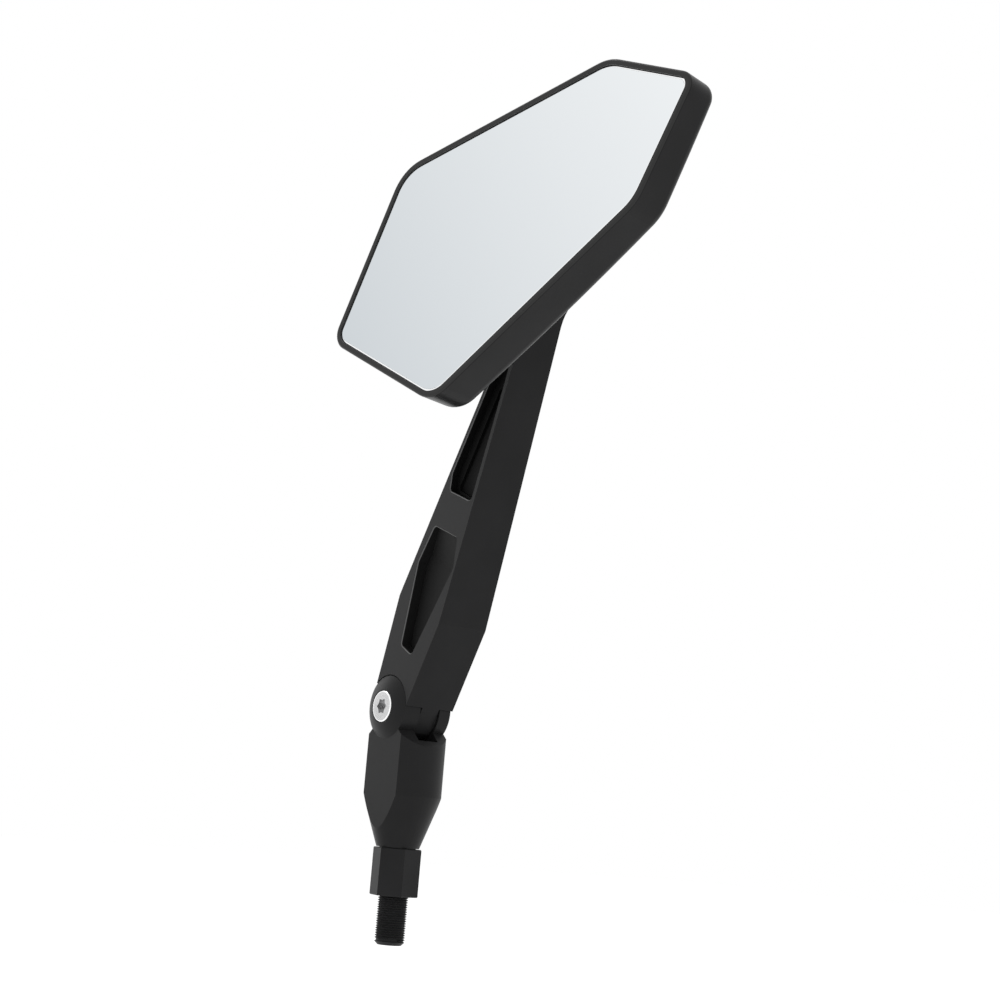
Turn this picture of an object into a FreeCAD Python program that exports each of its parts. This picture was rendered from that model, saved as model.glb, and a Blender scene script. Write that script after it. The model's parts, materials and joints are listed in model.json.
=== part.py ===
import FreeCAD, Part
import math
import os

import Sketcher

# Motorcycle mirror. Millimetres and degrees. The origin is on the stud's axis, at the hexagon's
# lower face. +Z runs up the stud, the mirror faces -Y and the arm leans towards +X.

SIZES = (
    ("stud_radius", 5.0, "M10 stud, over the thread"),
    ("stud_length", 15.7, "stud below the hexagon"),
    ("stud_chamfer", 1.1, "lead-in at the stud's end"),
    ("hex_across_flats", 14.0, "spanner size of the adapter"),
    ("hex_height", 15.5, "height of the hexagon"),
    ("hex_turn", -16.5, "turn of the hexagon about the stud"),
    ("journal_radius", 4.5, "plain journal that the base turns on"),
    ("journal_length", 18.0, "journal above the hexagon"),
    ("journal_chamfer", 0.6, "lead-in of the journal"),
    ("groove_depth", 0.6, "groove in the journal for the brake pad"),
    ("groove_width", 5.4, "width of that groove"),
    ("grub_height", 12.8, "grub screw above the hexagon"),
    ("running_gap", 0.05, "radial gap of turning fits"),
    ("seat_gap", 0.02, "radial gap of fixed fits"),
    ("thrust_thickness", 1.2, "thrust washer between hexagon and base"),
    ("thrust_radius", 6.0, "thrust washer, outside"),
    ("foot_gap", 0.2, "gap between hexagon and base"),
    ("bush_wall", 1.0, "wall of the plain bushes"),
    ("swivel_bush_length", 7.5, "length of the swivel bush"),
    ("pad_radius", 2.3, "brake pad"),
    ("pad_thickness", 1.2, "brake pad"),
    ("grub_radius", 2.5, "M5 grub screw"),
    ("grub_sink", 0.4, "grub screw below the flat"),
    ("grub_socket", 2.5, "socket of the grub screw, across flats"),
    ("grub_socket_depth", 2.0, "depth of that socket"),
    ("foot_radius", 7.1, "small end of the base's cone"),
    ("cone_height", 16.9, "height of the base's cone"),
    ("base_radius", 13.1, "turned body of the base"),
    ("flat_width", 18.4, "base across its flats, and over the ears"),
    ("rim_height", 48.8, "lowest edge of the sloped shoulders"),
    ("shoulder_height", 53.9, "upper edge of the sloped shoulders"),
    ("neck_half_width", 7.4, "half width of the neck below the ears"),
    ("pivot_height", 61.1, "hinge axis above the hexagon's lower face"),
    ("ear_radius", 10.4, "round of the hinge ears"),
    ("slot_width", 7.8, "slot between the ears"),
    ("slot_shift", 0.9, "slot's middle behind the stud's axis"),
    ("dome_rise", 2.2, "domed face of the front ear"),
    ("dome_top_radius", 5.6, "flat top of the dome"),
    ("screw_radius", 3.0, "M6 hinge screw"),
    ("screw_head_radius", 5.2, "flat head of the hinge screw"),
    ("screw_head_height", 2.5, "height of that head"),
    ("screw_head_gap", 0.15, "ring gap around that head"),
    ("screw_stand", 0.1, "head above the dome"),
    ("screw_socket", 2.7, "star socket of the hinge screw, to its points"),
    ("screw_socket_waist", 2.0, "star socket, between its points"),
    ("screw_socket_depth", 1.8, "depth of that socket"),
    ("nut_across_flats", 10.0, "M6 nuts"),
    ("nut_height", 3.2, "hinge nut"),
    ("tongue_round", 0.6, "round end of the tongue, beyond the arm's edges"),
    ("drag_washer_thickness", 0.5, "friction washers of the hinge"),
    ("drag_washer_radius", 9.2, "friction washers, outside"),
    ("slot_room", 0.3, "room below the tongue"),
    ("side_gap", 0.03, "play between faces that turn on each other"),
    ("washer_gap", 0.1, "radial gap of the loose washers"),
    ("arm_lean", 29.35, "lean of the arm from upright"),
    ("arm_front", 9.3, "arm's front face before the stud's axis"),
    ("arm_back", 9.8, "arm's back face behind it, at the hinge"),
    ("arm_taper", 0.0462, "closing of the back face along the arm"),
    ("notch_gap", 0.3, "gap between the ears and the arm's notches"),
    ("left_foot_across", 9.4, "arm's left edge, level with the hinge"),
    ("left_bend_across", 17.0, "arm's left edge at its bend"),
    ("left_bend_along", 33.3, "place of that bend"),
    ("right_foot_across", 9.2, "arm's right edge, level with the hinge"),
    ("right_bend_across", 8.8, "arm's right edge at its bend"),
    ("right_bend_along", 35.7, "place of that bend"),
    ("tip_short", 6.0, "upper end of the arm's blade below the ball stud's axis"),
    ("tip_left_across", 16.2, "left edge of that end"),
    ("tip_right_across", 12.5, "right edge of that end"),
    ("boss_along", 156.0, "ball stud's axis from the hinge, along the arm"),
    ("boss_across", 12.0, "ball stud's axis left of the hinge"),
    ("boss_radius", 9.6, "round boss at the arm's top"),
    ("boss_nose", 17.0, "front of the boss's cone"),
    ("boss_nose_radius", 6.5, "small end of that cone"),
    ("boss_fillet", 14.0, "round between boss and blade"),
    ("nut_recess_radius", 7.0, "recess for the ball stud's nut"),
    ("nut_recess_depth", 5.6, "depth of that recess"),
    ("well_corner", 1.5, "round of the pockets' corners"),
    ("low_well_depth", 4.0, "lower pocket of the arm"),
    ("low_well_top", 61.7, "its upper edge, along the arm"),
    ("low_well_top_skew", 1.0, "slant of that edge"),
    ("low_well_top_left", 13.4, "left end of that edge"),
    ("low_well_top_right", 0.3, "right end of that edge"),
    ("low_well_wide_along", 53.6, "widest place of the pocket"),
    ("low_well_wide_right", 4.3, "right edge there"),
    ("low_well_left", 14.4, "left edge there"),
    ("low_well_left_along", 47.0, "bend of the left edge"),
    ("low_well_foot", 20.2, "lower end of the pocket"),
    ("low_well_foot_left", 5.9, "left end of that edge"),
    ("low_well_foot_right", 1.2, "right end of that edge"),
    ("low_well_crease", 51.0, "foot of the pocket's ramp"),
    ("low_well_lip", 1.3, "wall above that ramp"),
    ("top_well_depth", 2.9, "upper pocket of the arm"),
    ("top_well_foot", 74.6, "its lower edge, along the arm"),
    ("top_well_foot_skew", 0.9, "slant of that edge"),
    ("top_well_foot_left", 13.1, "left end of that edge"),
    ("top_well_foot_right", 0.5, "right end of that edge"),
    ("top_well_lip_left", 1.3, "wall left of the pocket"),
    ("top_well_lip_right", 1.9, "wall right of the pocket"),
    ("top_well_corner_rise", 4.5, "bevel of the pocket's lower left corner"),
    ("top_well_end", 28.0, "upper end of the pocket below the ball stud's axis"),
    ("top_well_ledge", 3.0, "ledge along the pocket's left wall"),
    ("top_well_step", 1.0, "step below that ledge"),
    ("top_well_step_end", 44.0, "upper end of that step below the ball stud's axis"),
    ("top_well_inset", 0.3, "step inside the pocket's other walls"),
    ("well_break", 0.3, "broken edge of the pockets"),
    ("ball_radius", 7.0, "ball of the ball stud"),
    ("ball_reach", 28.0, "ball's centre before the stud's axis"),
    ("ball_neck_radius", 3.2, "neck behind the ball"),
    ("ball_collar_radius", 5.2, "collar of the ball stud"),
    ("ball_collar_thickness", 2.0, "thickness of that collar"),
    ("ball_washer_thickness", 1.2, "washer under the ball stud's nut"),
    ("ball_washer_radius", 6.5, "washer under the ball stud's nut"),
    ("ball_nut_height", 4.0, "nut of the ball stud"),
    ("head_pan", 10.0, "turn of the mirror head to the right of straight"),
    ("head_tilt", 3.0, "upward tilt of the mirror head"),
    ("rim_front", 14.0, "front rim of the head before the ball's centre"),
    ("head_depth", 16.1, "depth of the head at its thickest"),
    ("back_dome_radius", 1000.0, "curve of the head's back"),
    ("back_edge_round", 3.4, "round of the head's back edge"),
    ("rim_edge_round", 0.8, "round of the rim's outer edge"),
    ("rim_width", 1.9, "rim around the glass"),
    ("ledge_width", 2.6, "ledge that carries the glass"),
    ("glass_thickness", 2.5, "mirror glass"),
    ("glass_sink", 0.4, "glass below the rim"),
    ("glass_gap", 0.15, "gap between glass and rim"),
    ("glass_bevel", 0.5, "ground edge of the glass"),
    ("foam_thickness", 1.0, "foam pad behind the glass"),
    ("foam_gap", 0.6, "foam pad inside the rim"),
    ("plate_seat", 6.0, "clamp plate's seat before the ball's centre"),
    ("plate_thickness", 1.6, "clamp plate"),
    ("plate_radius", 20.0, "clamp plate, outside"),
    ("plate_hole_radius", 8.3, "clamp plate, middle hole"),
    ("plate_screw_circle", 15.5, "circle of the clamp screws"),
    ("plate_screw_radius", 1.5, "M3 clamp screws"),
    ("plate_screw_depth", 5.5, "clamp screws in the housing"),
    ("plate_screw_head", 2.75, "their heads"),
    ("plate_screw_head_height", 1.7, "height of those heads"),
    ("guide_radius", 11.3, "guide bore of the pressure cup"),
    ("guide_floor", 0.5, "floor of that bore"),
    ("cup_radius", 11.0, "pressure cup"),
    ("cup_foot", 1.5, "open side of the pressure cup"),
    ("cup_flange_top", 4.2, "top of its flange"),
    ("cup_neck_radius", 7.9, "its middle part"),
    ("cup_top", 8.0, "its closed end"),
    ("cup_top_radius", 5.0, "flat of that end"),
    ("lightening_width", 5.0, "ring groove that lightens the housing"),
    ("lightening_floor", 0.5, "its floor before the ball's centre"),
    ("spring_thickness", 0.8, "disc spring behind the clamp plate"),
    ("spring_inner", 8.6, "disc spring, inside"),
    ("spring_outer", 10.8, "disc spring, outside"),
    ("ring_radius", 9.5, "seat ring, outer sphere"),
    ("ring_front", 2.1, "front of the seat ring behind the ball's centre"),
    ("ring_back", 4.8, "back of the seat ring behind the ball's centre"),
    ("collar_radius", 12.0, "collar on the head's back, at its end"),
    ("collar_root_radius", 15.5, "collar on the head's back, at its root"),
    ("collar_end", 6.5, "end of that collar behind the ball's centre"),
    ("corner_top_left_right", 48.3, "head corner at the top left, right of the ball"),
    ("corner_top_left_up", 45.4, "and above it"),
    ("corner_top_right_right", 81.6, "head corner at the top right"),
    ("corner_top_right_up", 32.9, "and above the ball"),
    ("corner_right_right", 64.6, "head corner at the right"),
    ("corner_right_down", 3.0, "and below the ball"),
    ("corner_bottom_left", 7.3, "lowest head corner, left of the ball"),
    ("corner_bottom_down", 54.7, "and below it"),
    ("corner_left_left", 55.9, "head corner at the left"),
    ("corner_left_down", 29.9, "and below the ball"),
    ("corner_upper_left", 33.5, "head corner at the upper left"),
    ("corner_upper_up", 25.6, "and above the ball"),
    ("round_top_left", 14.0, "rounds of the head's corners, in the same order"),
    ("round_top_right", 5.0, "top right"),
    ("round_right", 16.0, "right"),
    ("round_bottom", 11.0, "bottom"),
    ("round_left", 6.0, "left"),
    ("round_upper", 15.0, "upper left"),
)

doc = FreeCAD.newDocument("motorcycle_mirror")
sheet = doc.addObject("Spreadsheet::Sheet", "Sizes")
for row, (alias, number, meaning) in enumerate(SIZES, start=1):
    sheet.set(f"A{row}", meaning)
    sheet.set(f"B{row}", str(number))
    sheet.setAlias(f"B{row}", alias)
doc.recompute()


class Size:
    """A number together with the sheet formula that gives it."""

    def __init__(self, value, text):
        self.value = value
        self.text = text

    def __add__(self, other):
        other = as_size(other)
        return Size(self.value + other.value, f"({self.text} + {other.text})")

    def __sub__(self, other):
        other = as_size(other)
        return Size(self.value - other.value, f"({self.text} - {other.text})")

    def __mul__(self, other):
        other = as_size(other)
        return Size(self.value * other.value, f"({self.text} * {other.text})")

    def __truediv__(self, other):
        other = as_size(other)
        return Size(self.value / other.value, f"({self.text} / {other.text})")

    def __neg__(self):
        return Size(-self.value, f"(0 - {self.text})")


def as_size(number):
    return number if isinstance(number, Size) else Size(float(number), f"({float(number)})")


def size(alias):
    return Size(sheet.get(alias), f"Sizes.{alias}")


def root(number):
    return Size(math.sqrt(number.value), f"sqrt({number.text})")


def largest(first, second):
    return Size(max(first.value, second.value), f"max({first.text}; {second.text})")


def on_ball(radius, height):
    """Radius of the circle that a plane at this height cuts from a ball about the origin."""
    return root(radius * radius - height * height)


NONE = as_size(0)

# Sketches: every point is held by two coordinates, each bound to a formula of the sheet


def new_body(name):
    return doc.addObject("PartDesign::Body", name)


def sketch_on(body, role, lift=NONE):
    """A sketch on one of the body's origin planes, moved along the plane's normal by lift."""
    plane = next(item for item in body.Origin.OriginFeatures if item.Role == role)
    sketch = body.newObject("Sketcher::SketchObject", body.Name + "_sketch")
    sketch.AttachmentSupport = [(plane, "")]
    sketch.MapMode = "FlatFace"
    sketch.setExpression("AttachmentOffset.Base.z", lift.text)
    return sketch


def bind(sketch, kind, *where, formula):
    index = sketch.addConstraint(Sketcher.Constraint(kind, *where, formula.value))
    sketch.setExpression(f"Constraints[{index}]", formula.text)


def hold(sketch, geometry, end, across, up):
    """Holds one end of a line or arc, or a circle's centre, at its two coordinates."""
    for kind, axis, formula in (("DistanceX", -2, across), ("DistanceY", -1, up)):
        if formula is NONE:
            sketch.addConstraint(Sketcher.Constraint("PointOnObject", geometry, end, axis))
        else:
            bind(sketch, kind, -1, 1, geometry, end, formula=formula)


def flat(across, up):
    return FreeCAD.Vector(across.value, up.value, 0)


def polygon(sketch, points):
    """A closed outline of straight edges through points."""
    first = sketch.GeometryCount
    count = len(points)
    for index in range(count):
        start = flat(*points[index])
        end = flat(*points[(index + 1) % count])
        sketch.addGeometry(Part.LineSegment(start, end), False)
    for index in range(count):
        following = first + (index + 1) % count
        sketch.addConstraint(Sketcher.Constraint("Coincident", first + index, 2, following, 1))
    for index, (across, up) in enumerate(points):
        hold(sketch, first + index, 1, across, up)


def circle(sketch, radius, across=NONE, up=NONE):
    index = sketch.addGeometry(Part.Circle(flat(across, up), FreeCAD.Vector(0, 0, 1), radius.value), False)
    bind(sketch, "Radius", index, formula=radius)
    hold(sketch, index, 3, across, up)


def hexagon(sketch, across_flats, across=NONE, up=NONE):
    corner = across_flats / math.sqrt(3)
    points = []
    for step in range(6):
        angle = math.radians(60 * step)
        points.append((across + corner * math.cos(angle), up + corner * math.sin(angle)))
    polygon(sketch, points)


def star(sketch, tip, waist):
    points = []
    for step in range(12):
        angle = math.radians(30 * step)
        reach = waist if step % 2 else tip
        points.append((reach * math.cos(angle), reach * math.sin(angle)))
    polygon(sketch, points)


def centre_on_axis(start, end):
    """Height on the upright axis of the circle through two points whose centre is on that axis."""
    rise = end.y - start.y
    return (end.x * end.x - start.x * start.x + end.y * end.y - start.y * start.y) / (2 * rise)


def turned_profile(sketch, points, axis_across=NONE):
    """A closed outline for turning. A point marked True starts an arc about the turning axis.

    Radii count from the axis, a construction line at axis_across."""
    low = flat(axis_across, as_size(-1))
    high = flat(axis_across, as_size(1))
    axis = sketch.addGeometry(Part.LineSegment(low, high), True)
    hold(sketch, axis, 1, axis_across, as_size(-1))
    hold(sketch, axis, 2, axis_across, as_size(1))
    count = len(points)
    ends = []
    for index, (radius, up, is_arc) in enumerate(points):
        start = FreeCAD.Vector(radius.value, up.value, 0)
        following = points[(index + 1) % count]
        end = FreeCAD.Vector(following[0].value, following[1].value, 0)
        shift = FreeCAD.Vector(axis_across.value, 0, 0)
        if is_arc:
            middle = FreeCAD.Vector(0, centre_on_axis(start, end), 0)
            arm = start - middle
            first_angle = math.atan2(arm.y, arm.x)
            last_angle = math.atan2(end.y - middle.y, end.x)
            ring = Part.Circle(middle + shift, FreeCAD.Vector(0, 0, 1), arm.Length)
            low_angle = min(first_angle, last_angle)
            high_angle = max(first_angle, last_angle)
            geometry = sketch.addGeometry(Part.ArcOfCircle(ring, low_angle, high_angle), False)
            forward = first_angle < last_angle
            ends.append((geometry, 1 if forward else 2, 2 if forward else 1))
            sketch.addConstraint(Sketcher.Constraint("PointOnObject", geometry, 3, axis))
        else:
            geometry = sketch.addGeometry(Part.LineSegment(start + shift, end + shift), False)
            ends.append((geometry, 1, 2))
    for index, (radius, up, is_arc) in enumerate(points):
        geometry, start_end, last_end = ends[index]
        next_geometry, next_start, next_last = ends[(index + 1) % count]
        sketch.addConstraint(Sketcher.Constraint("Coincident", geometry, last_end, next_geometry, next_start))
        across = axis_across if radius is NONE else axis_across + radius
        hold(sketch, geometry, start_end, across, up)


def rounded_outline(sketch, corners, inset=NONE):
    """A closed outline with a round at each corner, inset from the corners' own outline.

    A corner is (across, up, radius)."""
    count = len(corners)
    places = [flat(across, up) for across, up, radius in corners]
    trims = []
    for index, (across, up, radius) in enumerate(corners):
        here = places[index]
        back = (places[index - 1] - here).normalize()
        ahead = (places[(index + 1) % count] - here).normalize()
        half_angle = back.getAngle(ahead) / 2
        bisector = (back + ahead).normalize()
        inner = here + bisector * (inset.value / math.sin(half_angle))
        middle = here + bisector * (radius.value / math.sin(half_angle))
        reach = (radius.value - inset.value) / math.tan(half_angle)
        trims.append((inner + back * reach, inner + ahead * reach, middle))
    lines = []
    for index in range(count):
        start = trims[index][1]
        end = trims[(index + 1) % count][0]
        lines.append(sketch.addGeometry(Part.LineSegment(start, end), False))
    for index, (across, up, radius) in enumerate(corners):
        before, after, middle = trims[index]
        first_angle = math.atan2(before.y - middle.y, before.x - middle.x)
        last_angle = math.atan2(after.y - middle.y, after.x - middle.x)
        sweep = (last_angle - first_angle) % (2 * math.pi)
        clockwise = sweep > math.pi
        low_angle = last_angle if clockwise else first_angle
        angle = 2 * math.pi - sweep if clockwise else sweep
        bend_circle = Part.Circle(middle, FreeCAD.Vector(0, 0, 1), radius.value - inset.value)
        bend = sketch.addGeometry(Part.ArcOfCircle(bend_circle, low_angle, low_angle + angle), False)
        arrive = 2 if clockwise else 1
        leave = 1 if clockwise else 2
        sketch.addConstraint(Sketcher.Constraint("Tangent", lines[index - 1], 2, bend, arrive))
        sketch.addConstraint(Sketcher.Constraint("Tangent", lines[index], 1, bend, leave))
        bind(sketch, "Radius", bend, formula=radius - inset)
        corner = sketch.addGeometry(Part.Point(places[index]), True)
        hold(sketch, corner, 1, across, up)
        for line in (lines[index - 1], lines[index]):
            if inset is NONE:
                sketch.addConstraint(Sketcher.Constraint("PointOnObject", corner, 1, line))
            else:
                bind(sketch, "Distance", corner, 1, line, formula=inset)


# Features


def feature(body, kind, sketch):
    made = body.newObject(f"PartDesign::{kind}", f"{body.Name}_{kind.lower()}")
    made.Profile = sketch
    sketch.Visibility = False
    return made


def pad(body, sketch, length, both_ways=False):
    made = feature(body, "Pad", sketch)
    made.setExpression("Length", length.text)
    made.SideType = "Symmetric" if both_ways else "One side"
    return made


def cut_volume(body, made, before):
    """Stops the build when a cutting feature has removed nothing."""
    doc.recompute()
    if not body.Shape.Volume < before:
        raise RuntimeError(f"{made.Name} cuts nothing")


def pocket(body, sketch, length, upwards=False, both_ways=False):
    doc.recompute()
    before = body.Shape.Volume
    made = feature(body, "Pocket", sketch)
    made.setExpression("Length", length.text)
    made.SideType = "Symmetric" if both_ways else "One side"
    made.Reversed = upwards
    cut_volume(body, made, before)
    return made


def turn(body, sketch):
    made = feature(body, "Revolution", sketch)
    made.ReferenceAxis = (sketch, ["Axis0"])
    made.Angle = 360
    return made


def groove(body, sketch):
    doc.recompute()
    before = body.Shape.Volume
    made = feature(body, "Groove", sketch)
    made.ReferenceAxis = (sketch, ["Axis0"])
    made.Angle = 360
    cut_volume(body, made, before)
    return made


def straight(points):
    """Marks each point of a turned profile as the start of a straight edge."""
    return [(radius, up, False) for radius, up in points]


def turned(name, points):
    """A body turned about its own Z axis."""
    body = new_body(name)
    sketch = sketch_on(body, "XZ_Plane")
    turned_profile(sketch, points)
    turn(body, sketch)
    return body


def ring(name, inner, outer, low, high):
    return turned(name, straight(((inner, low), (outer, low), (outer, high), (inner, high))))


def upright_edges(shape, wanted):
    """Names of the straight edges along Z whose place fits the test."""
    names = []
    for index, edge in enumerate(shape.Edges, start=1):
        direction = edge.Vertexes[-1].Point - edge.Vertexes[0].Point
        if direction.Length < 1e-6 or abs(direction.z) < 0.999 * direction.Length:
            continue
        if wanted(edge.CenterOfMass):
            names.append(f"Edge{index}")
    return names


def round_edges(body, radius, wanted):
    doc.recompute()
    tip = body.Tip
    made = body.newObject("PartDesign::Fillet", body.Name + "_fillet")
    made.Base = (tip, upright_edges(tip.Shape, wanted))
    made.setExpression("Radius", radius.text)
    return made


def frame(origin, x_axis, y_axis):
    """Placement of a piece's own frame, from its origin and its first two axes."""
    z_axis = x_axis.cross(y_axis)
    return FreeCAD.Placement(origin, FreeCAD.Rotation(x_axis, y_axis, z_axis, "XYZ"))


PIECES = []


def finished(piece, label, placement):
    """Gives a finished piece its name and its place."""
    piece.Label = label
    piece.Placement = placement
    PIECES.append(piece)


# Frames of the pieces, each in the row's frame

lean = math.radians(size("arm_lean").value)
pan = math.radians(size("head_pan").value)
tilt = math.radians(size("head_tilt").value)
forward = FreeCAD.Vector(0, -1, 0)
along_arm = FreeCAD.Vector(math.sin(lean), 0, math.cos(lean))
across_arm = FreeCAD.Vector(math.cos(lean), 0, -math.sin(lean))
pivot = FreeCAD.Vector(0, 0, size("pivot_height").value)
boss_centre = pivot + along_arm * size("boss_along").value - across_arm * size("boss_across").value
ball_centre = boss_centre + forward * size("ball_reach").value
head_right = FreeCAD.Vector(math.cos(pan), math.sin(pan), 0)
head_face = FreeCAD.Vector(
    math.sin(pan) * math.cos(tilt),
    -math.cos(pan) * math.cos(tilt),
    math.sin(tilt),
)
grub_level = size("hex_height") + size("grub_height")

ROW = FreeCAD.Placement()
ADAPTER = FreeCAD.Placement(FreeCAD.Vector(), FreeCAD.Rotation(FreeCAD.Vector(0, 0, 1), size("hex_turn").value))
HINGE = frame(pivot, FreeCAD.Vector(1, 0, 0), FreeCAD.Vector(0, 0, 1))
GRUB = frame(FreeCAD.Vector(0, 0, grub_level.value), FreeCAD.Vector(1, 0, 0), FreeCAD.Vector(0, 0, -1))
ARM = frame(pivot, across_arm, along_arm)
BOSS = frame(boss_centre, across_arm, along_arm)
BALL = frame(ball_centre, across_arm, along_arm)
HEAD = frame(ball_centre, head_right, head_face.cross(head_right))

# Stud adapter: M10 stud, hexagon and the journal that the base turns on

journal = size("journal_radius")
journal_top = size("hex_height") + size("journal_length")
groove_low = grub_level - size("groove_width") / 2
groove_high = grub_level + size("groove_width") / 2
groove_radius = journal - size("groove_depth")
stud_end = -size("stud_length")

adapter = turned("stud_adapter_body", straight((
    (NONE, stud_end),
    (size("stud_radius") - size("stud_chamfer"), stud_end),
    (size("stud_radius"), stud_end + size("stud_chamfer")),
    (size("stud_radius"), size("hex_height") / 2),
    (journal, size("hex_height") / 2),
    (journal, groove_low),
    (groove_radius, groove_low),
    (groove_radius, groove_high),
    (journal, groove_high),
    (journal, journal_top - size("journal_chamfer")),
    (journal - size("journal_chamfer"), journal_top),
    (NONE, journal_top),
)))
hex_sketch = sketch_on(adapter, "XY_Plane")
hexagon(hex_sketch, size("hex_across_flats"))
pad(adapter, hex_sketch, size("hex_height"))
finished(adapter, "stud_adapter", ADAPTER)

# Swivel: thrust washer, plain bush, brake pad and its grub screw

thrust_top = size("hex_height") + size("thrust_thickness")
bush_top = thrust_top + size("swivel_bush_length")
swivel_inside = journal + size("running_gap")
swivel_outside = swivel_inside + size("bush_wall")
finished(
    ring("thrust_body", swivel_inside, size("thrust_radius"), size("hex_height"), thrust_top),
    "thrust_washer", ROW,
)
finished(ring("swivel_bush_body", swivel_inside, swivel_outside, thrust_top, bush_top), "swivel_bush", ROW)

half_flat = size("flat_width") / 2
pad_end = groove_radius + size("running_gap")
pad_back = pad_end + size("pad_thickness")
grub_end = half_flat - size("grub_sink")
finished(ring("brake_pad_body", NONE, size("pad_radius"), pad_end, pad_back), "brake_pad", GRUB)
grub = ring("grub_body", NONE, size("grub_radius"), pad_back, grub_end)
grub_socket = sketch_on(grub, "XY_Plane", grub_end)
hexagon(grub_socket, size("grub_socket"))
pocket(grub, grub_socket, size("grub_socket_depth"))
finished(grub, "swivel_grub_screw", GRUB)

# Base: turned foot with side flats, sloped shoulders and the two hinge ears

foot = size("hex_height") + size("foot_gap")
cone_top = foot + size("cone_height")
wide = size("base_radius") * 4
tall = size("pivot_height") * 4
pivot_up = size("pivot_height")
neck = size("neck_half_width")
slope = (size("shoulder_height") - size("rim_height")) / (size("base_radius") - neck)
shoulder_run = size("base_radius")
shoulder_end = neck + shoulder_run
shoulder_low = size("shoulder_height") - slope * shoulder_run
shoulder_high = size("shoulder_height") + shoulder_run

base = turned("base_body", straight((
    (NONE, foot),
    (size("foot_radius"), foot),
    (size("base_radius"), cone_top),
    (size("base_radius"), pivot_up),
    (NONE, pivot_up),
)))
for side in (1, -1):
    flat_sketch = sketch_on(base, "XY_Plane")
    near = half_flat * side
    far = wide * side
    polygon(flat_sketch, ((-wide, near), (wide, near), (wide, far), (-wide, far)))
    pocket(base, flat_sketch, tall, both_ways=True)
    shoulder_sketch = sketch_on(base, "XZ_Plane")
    polygon(shoulder_sketch, (
        (neck * side, size("shoulder_height")),
        (shoulder_end * side, shoulder_low),
        (shoulder_end * side, shoulder_high),
        (neck * side, shoulder_high),
    ))
    pocket(base, shoulder_sketch, wide, both_ways=True)
ear_sketch = sketch_on(base, "XZ_Plane")
circle(ear_sketch, size("ear_radius"), NONE, pivot_up)
pad(base, ear_sketch, size("flat_width"), both_ways=True)

dome_face = half_flat + size("dome_rise")
dome_root = half_flat / 2
screw_seat = dome_face + size("screw_stand") - size("screw_head_height")
screw_hole = size("screw_radius") + size("seat_gap")
head_hole = size("screw_head_radius") + size("screw_head_gap")
beyond = half_flat * 2

dome_sketch = sketch_on(base, "XY_Plane", pivot_up)
turned_profile(dome_sketch, (
    (NONE, -dome_root, False),
    (size("ear_radius"), -dome_root, False),
    (size("ear_radius"), -half_flat, True),
    (size("dome_top_radius"), -dome_face, False),
    (NONE, -dome_face, False),
))
turn(base, dome_sketch)

screw_sketch = sketch_on(base, "XY_Plane", pivot_up)
turned_profile(screw_sketch, straight((
    (NONE, -beyond),
    (head_hole, -beyond),
    (head_hole, -screw_seat),
    (screw_hole, -screw_seat),
    (screw_hole, beyond),
    (NONE, beyond),
)))
groove(base, screw_sketch)

slot_front = size("slot_width") / 2 - size("slot_shift")
slot_back = size("slot_width") / 2 + size("slot_shift")
tongue_radius = largest(size("left_foot_across"), size("right_foot_across")) + size("tongue_round")
slot_floor = pivot_up - tongue_radius - size("slot_room")
slot_top = pivot_up + size("ear_radius") * 2
slot_sketch = sketch_on(base, "YZ_Plane")
polygon(slot_sketch, (
    (-slot_front, slot_floor),
    (slot_back, slot_floor),
    (slot_back, slot_top),
    (-slot_front, slot_top),
))
pocket(base, slot_sketch, wide, both_ways=True)

nut_sketch = sketch_on(base, "XZ_Plane", -half_flat)
hexagon(nut_sketch, size("nut_across_flats") + size("washer_gap"), NONE, pivot_up)
pocket(base, nut_sketch, size("nut_height") * 2, both_ways=True)

thrust_hole = size("thrust_radius") + size("washer_gap")
bush_hole = swivel_outside + size("seat_gap")
journal_hole = swivel_inside + size("running_gap")
bore_end = journal_top + size("journal_chamfer")
bore_sketch = sketch_on(base, "XZ_Plane")
turned_profile(bore_sketch, straight((
    (NONE, NONE),
    (thrust_hole, NONE),
    (thrust_hole, thrust_top),
    (bush_hole, thrust_top),
    (bush_hole, bush_top),
    (journal_hole, bush_top),
    (journal_hole, bore_end),
    (NONE, bore_end),
)))
groove(base, bore_sketch)

grub_hole_sketch = sketch_on(base, "XZ_Plane", -half_flat)
circle(grub_hole_sketch, size("grub_radius") + size("seat_gap"), NONE, grub_level)
pocket(base, grub_hole_sketch, (half_flat - journal / 2) * 2, both_ways=True)
finished(base, "base_fork", ROW)

# Hinge: screw, nut, friction washers and the bush in the arm's tongue

drag = size("drag_washer_thickness")
tongue_front = slot_front - drag - size("side_gap")
tongue_back = slot_back - drag - size("side_gap")
screw_top = screw_seat + size("screw_head_height")
screw_edge = size("screw_stand") * 2
bush_inside = size("screw_radius") + size("running_gap")
bush_outside = bush_inside + size("bush_wall")

screw = turned("screw_body", straight((
    (NONE, -half_flat),
    (size("screw_radius"), -half_flat),
    (size("screw_radius"), screw_seat),
    (size("screw_head_radius"), screw_seat),
    (size("screw_head_radius"), screw_top - screw_edge),
    (size("screw_head_radius") - screw_edge, screw_top),
    (NONE, screw_top),
)))
socket_sketch = sketch_on(screw, "XY_Plane", screw_top)
star(socket_sketch, size("screw_socket"), size("screw_socket_waist"))
pocket(screw, socket_sketch, size("screw_socket_depth"))
finished(screw, "pivot_screw", HINGE)

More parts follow.
